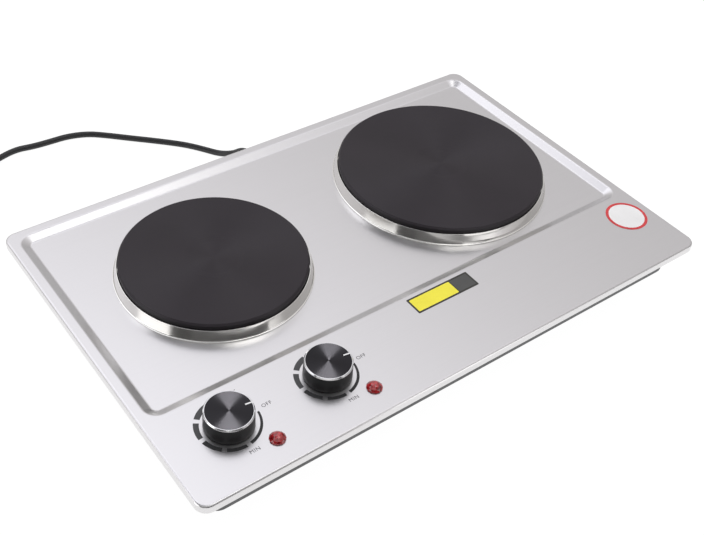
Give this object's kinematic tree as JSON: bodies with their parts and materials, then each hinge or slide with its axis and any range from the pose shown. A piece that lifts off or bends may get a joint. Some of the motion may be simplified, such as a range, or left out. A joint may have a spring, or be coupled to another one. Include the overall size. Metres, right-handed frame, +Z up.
{
  "type": "hot plate burner",
  "caption": "Electric hot plate: cast-iron burners of unequal size in polished rings, sunk in a brushed steel top with turning knobs and red lamps; mains cord at the back.",
  "frame": {"origin": "on the floor under the middle of the top panel", "axes": "+Z up, -Y towards the controls at the front, +X to the right seen from the front"},
  "size_m": [0.5382, 0.6043, 0.0631],
  "materials": {
    "panel_steel": "satin",
    "base_paint": "satin",
    "polished_ring": "polished",
    "cast_plate": "matte",
    "heater_cement": "matte",
    "zinc_steel": "satin",
    "ceramic": "matte",
    "brass": "satin",
    "knob_plastic": "gloss",
    "knob_metal": "satin",
    "knob_chrome": "polished",
    "pointer_white": "satin",
    "lamp_red": "gloss",
    "terminal_plastic": "matte",
    "foot_rubber": "matte",
    "cord_rubber": "satin",
    "tie_plastic": "matte",
    "plug_plastic": "satin",
    "lead_brown": "satin",
    "lead_black": "satin",
    "lead_blue": "satin",
    "lead_green": "satin"
  },
  "bodies": {
    "housing": {"base_screws": "zinc_steel", "base_tray": "base_paint", "clamp_nuts": "zinc_steel", "coil_tie": "tie_plastic", "cord_coil": "cord_rubber", "cord_gland": "cord_rubber", "earth_lead": "lead_green", "earth_stud": "zinc_steel", "foot_back_left": "foot_rubber", "foot_back_right": "foot_rubber", "foot_front_left": "foot_rubber", "foot_front_right": "foot_rubber", "foot_nuts": "zinc_steel", "foot_screws": "zinc_steel", "inner_cord": "cord_rubber", "lamp_clips": "zinc_steel", "left_clamp_bridge": "zinc_steel", "left_heater_ring": "heater_cement", "left_lamp_holder": "terminal_plastic", "left_lamp_lens": "lamp_red", "left_plate": "cast_plate", "left_plate_cover": "zinc_steel", "left_plate_terminal": "ceramic", "left_thermostat_body": "terminal_plastic", "left_thermostat_frame": "zinc_steel", "left_trim_ring": "polished_ring", "live_leads": "lead_brown", "mains_cord": "cord_rubber", "mains_terminal": "terminal_plastic", "mains_terminal_screw": "zinc_steel", "neutral_leads": "lead_blue", "panel_posts": "zinc_steel", "plate_studs": "zinc_steel", "plate_terminal_tabs": "zinc_steel", "plug_blades": "brass", "plug_body": "plug_plastic", "right_clamp_bridge": "zinc_steel", "right_heater_ring": "heater_cement", "right_lamp_holder": "terminal_plastic", "right_lamp_lens": "lamp_red", "right_plate": "cast_plate", "right_plate_cover": "zinc_steel", "right_plate_terminal": "ceramic", "right_thermostat_body": "terminal_plastic", "right_thermostat_frame": "zinc_steel", "right_trim_ring": "polished_ring", "switched_leads": "lead_black", "thermostat_screws": "zinc_steel", "thermostat_tabs": "brass", "top_panel": "panel_steel"},
    "left_knob": {"left_knob_body": "knob_plastic", "left_knob_cap": "knob_metal", "left_knob_pointer": "pointer_white", "left_knob_ring": "knob_chrome", "left_thermostat_shaft": "zinc_steel"},
    "right_knob": {"right_knob_body": "knob_plastic", "right_knob_cap": "knob_metal", "right_knob_pointer": "pointer_white", "right_knob_ring": "knob_chrome", "right_thermostat_shaft": "zinc_steel"}
  },
  "joints": [
    {"name": "left_knob_turn", "type": "hinge", "parent": "housing", "child": "left_knob", "pos_m": [-0.1965, -0.1082, 0.048], "axis": [0, 0, -1], "range_deg": [0, 300]},
    {"name": "right_knob_turn", "type": "hinge", "parent": "housing", "child": "right_knob", "pos_m": [-0.1112, -0.1082, 0.048], "axis": [0, 0, -1], "range_deg": [0, 300]}
  ]
}
